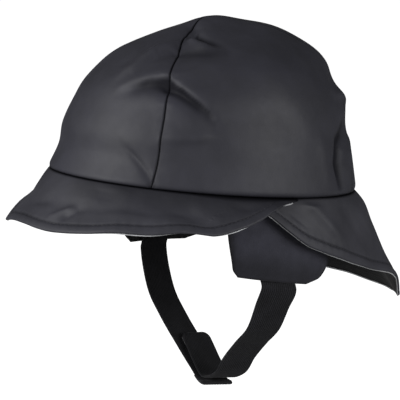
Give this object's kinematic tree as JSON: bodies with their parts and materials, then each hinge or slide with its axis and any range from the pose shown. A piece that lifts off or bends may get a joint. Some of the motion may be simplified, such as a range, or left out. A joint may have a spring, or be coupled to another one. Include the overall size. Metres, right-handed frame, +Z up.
{
  "type": "rain hat",
  "caption": "Child's coated-fabric rain hat with a panelled crown, short front brim, long pointed neck flap, padded ear flaps and an elastic chin strap with a hook-and-loop overlap.",
  "frame": {"origin": "middle of the head opening, level with the seam between crown and brim, where a head holds the hat", "axes": "+Z up along the wearer's head, the front of the hat faces -Y, the wearer's left is +X"},
  "size_m": [0.179, 0.2692, 0.2266],
  "materials": {
    "coated_cloth": "smooth coated cloth, soft sheen",
    "flap_cloth": "matt brushed cloth",
    "elastic": "ribbed elastic webbing",
    "hook_tape": "matt hook-and-loop tape",
    "light_piping": "light reflective piping"
  },
  "bodies": {
    "root": {"crown_front_panel": "coated_cloth", "crown_left_panel": "coated_cloth", "crown_back_panel": "coated_cloth", "crown_right_panel": "coated_cloth", "front_brim": "coated_cloth", "neck_flap": "coated_cloth", "brim_piping": "light_piping", "neck_piping": "light_piping", "ear_flap_left": "flap_cloth", "ear_flap_right": "flap_cloth", "chin_strap_left": "elastic", "chin_strap_right": "elastic", "strap_fastener": "hook_tape"}
  },
  "joints": []
}
